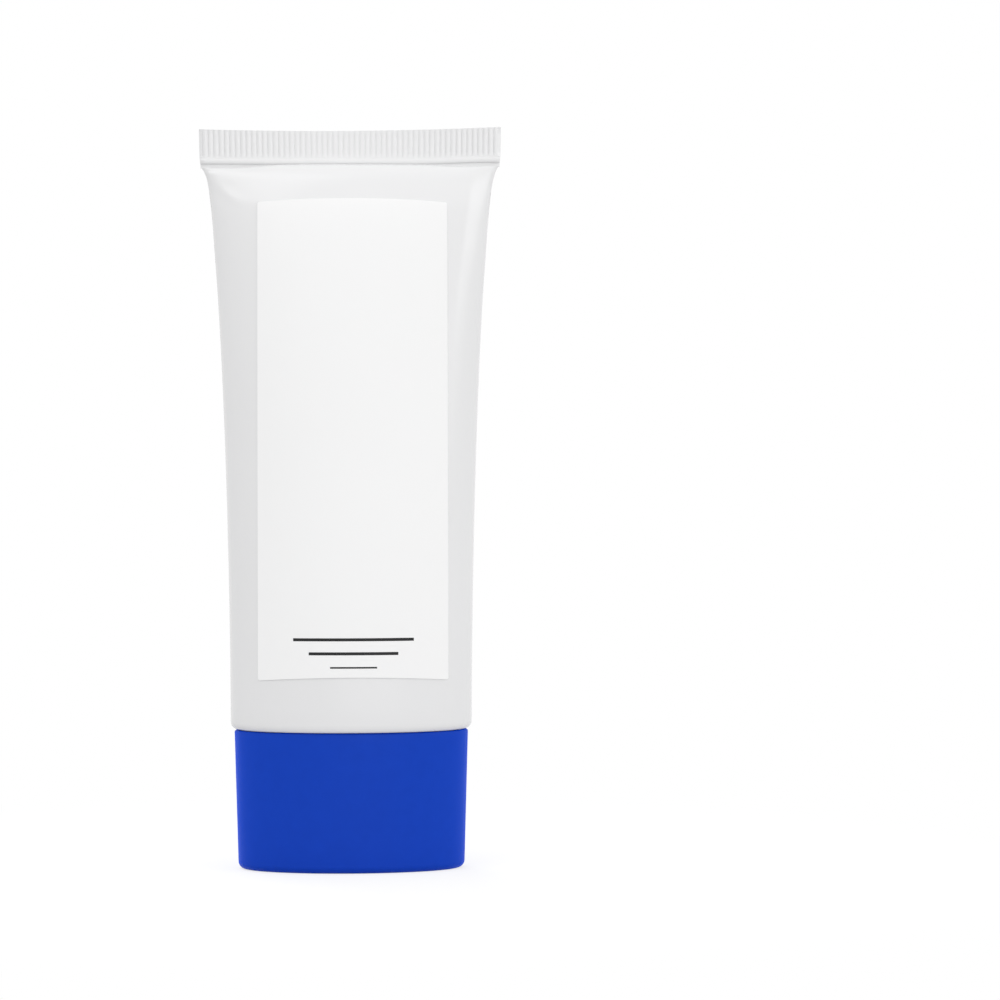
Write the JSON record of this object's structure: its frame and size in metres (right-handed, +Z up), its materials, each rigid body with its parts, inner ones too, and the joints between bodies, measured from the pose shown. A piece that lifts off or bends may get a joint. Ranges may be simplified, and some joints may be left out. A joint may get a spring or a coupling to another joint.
{
  "type": "sunscreen tube",
  "caption": "Oval squeeze tube for sunscreen, sealed by a ribbed flat crimp, with a front label and an oval screw cap that it stands on.",
  "frame": {"origin": "centre of the cap's flat end, on the surface that the tube stands on", "axes": "+Z up along the tube to the crimp, +X across the width to the label's right, -Y out of the label's face"},
  "size_m": [0.0552, 0.0251, 0.135],
  "materials": {
    "white_plastic": "satin extruded film",
    "white_moulding": "satin moulded",
    "blue_plastic": "satin moulded",
    "label_white": "matt film",
    "foil": "satin",
    "foam": "matt",
    "lotion": "creamy"
  },
  "bodies": {
    "tube": {"sleeve": "white_plastic", "shoulder_head": "white_moulding", "foil_seal": "foil", "front_label": "label_white", "lotion": "lotion"},
    "liner": {"cap_liner": "foam"},
    "cap": {"cap_insert": "white_moulding", "cap_shell": "blue_plastic"}
  },
  "joints": [
    {"name": "cap_advance", "type": "slide", "parent": "tube", "child": "liner", "axis": [0, 0, -1], "range_m": [0, 0.009]},
    {"name": "cap_unscrew", "type": "hinge", "parent": "liner", "child": "cap", "pos_m": [0, 0, 0.0125], "axis": [0, 0, -1], "range_deg": [0, 540]}
  ],
  "couplings": [
    {"joint": "cap_advance", "follows": "cap_unscrew", "m_per_rad": 0.00095492}
  ]
}
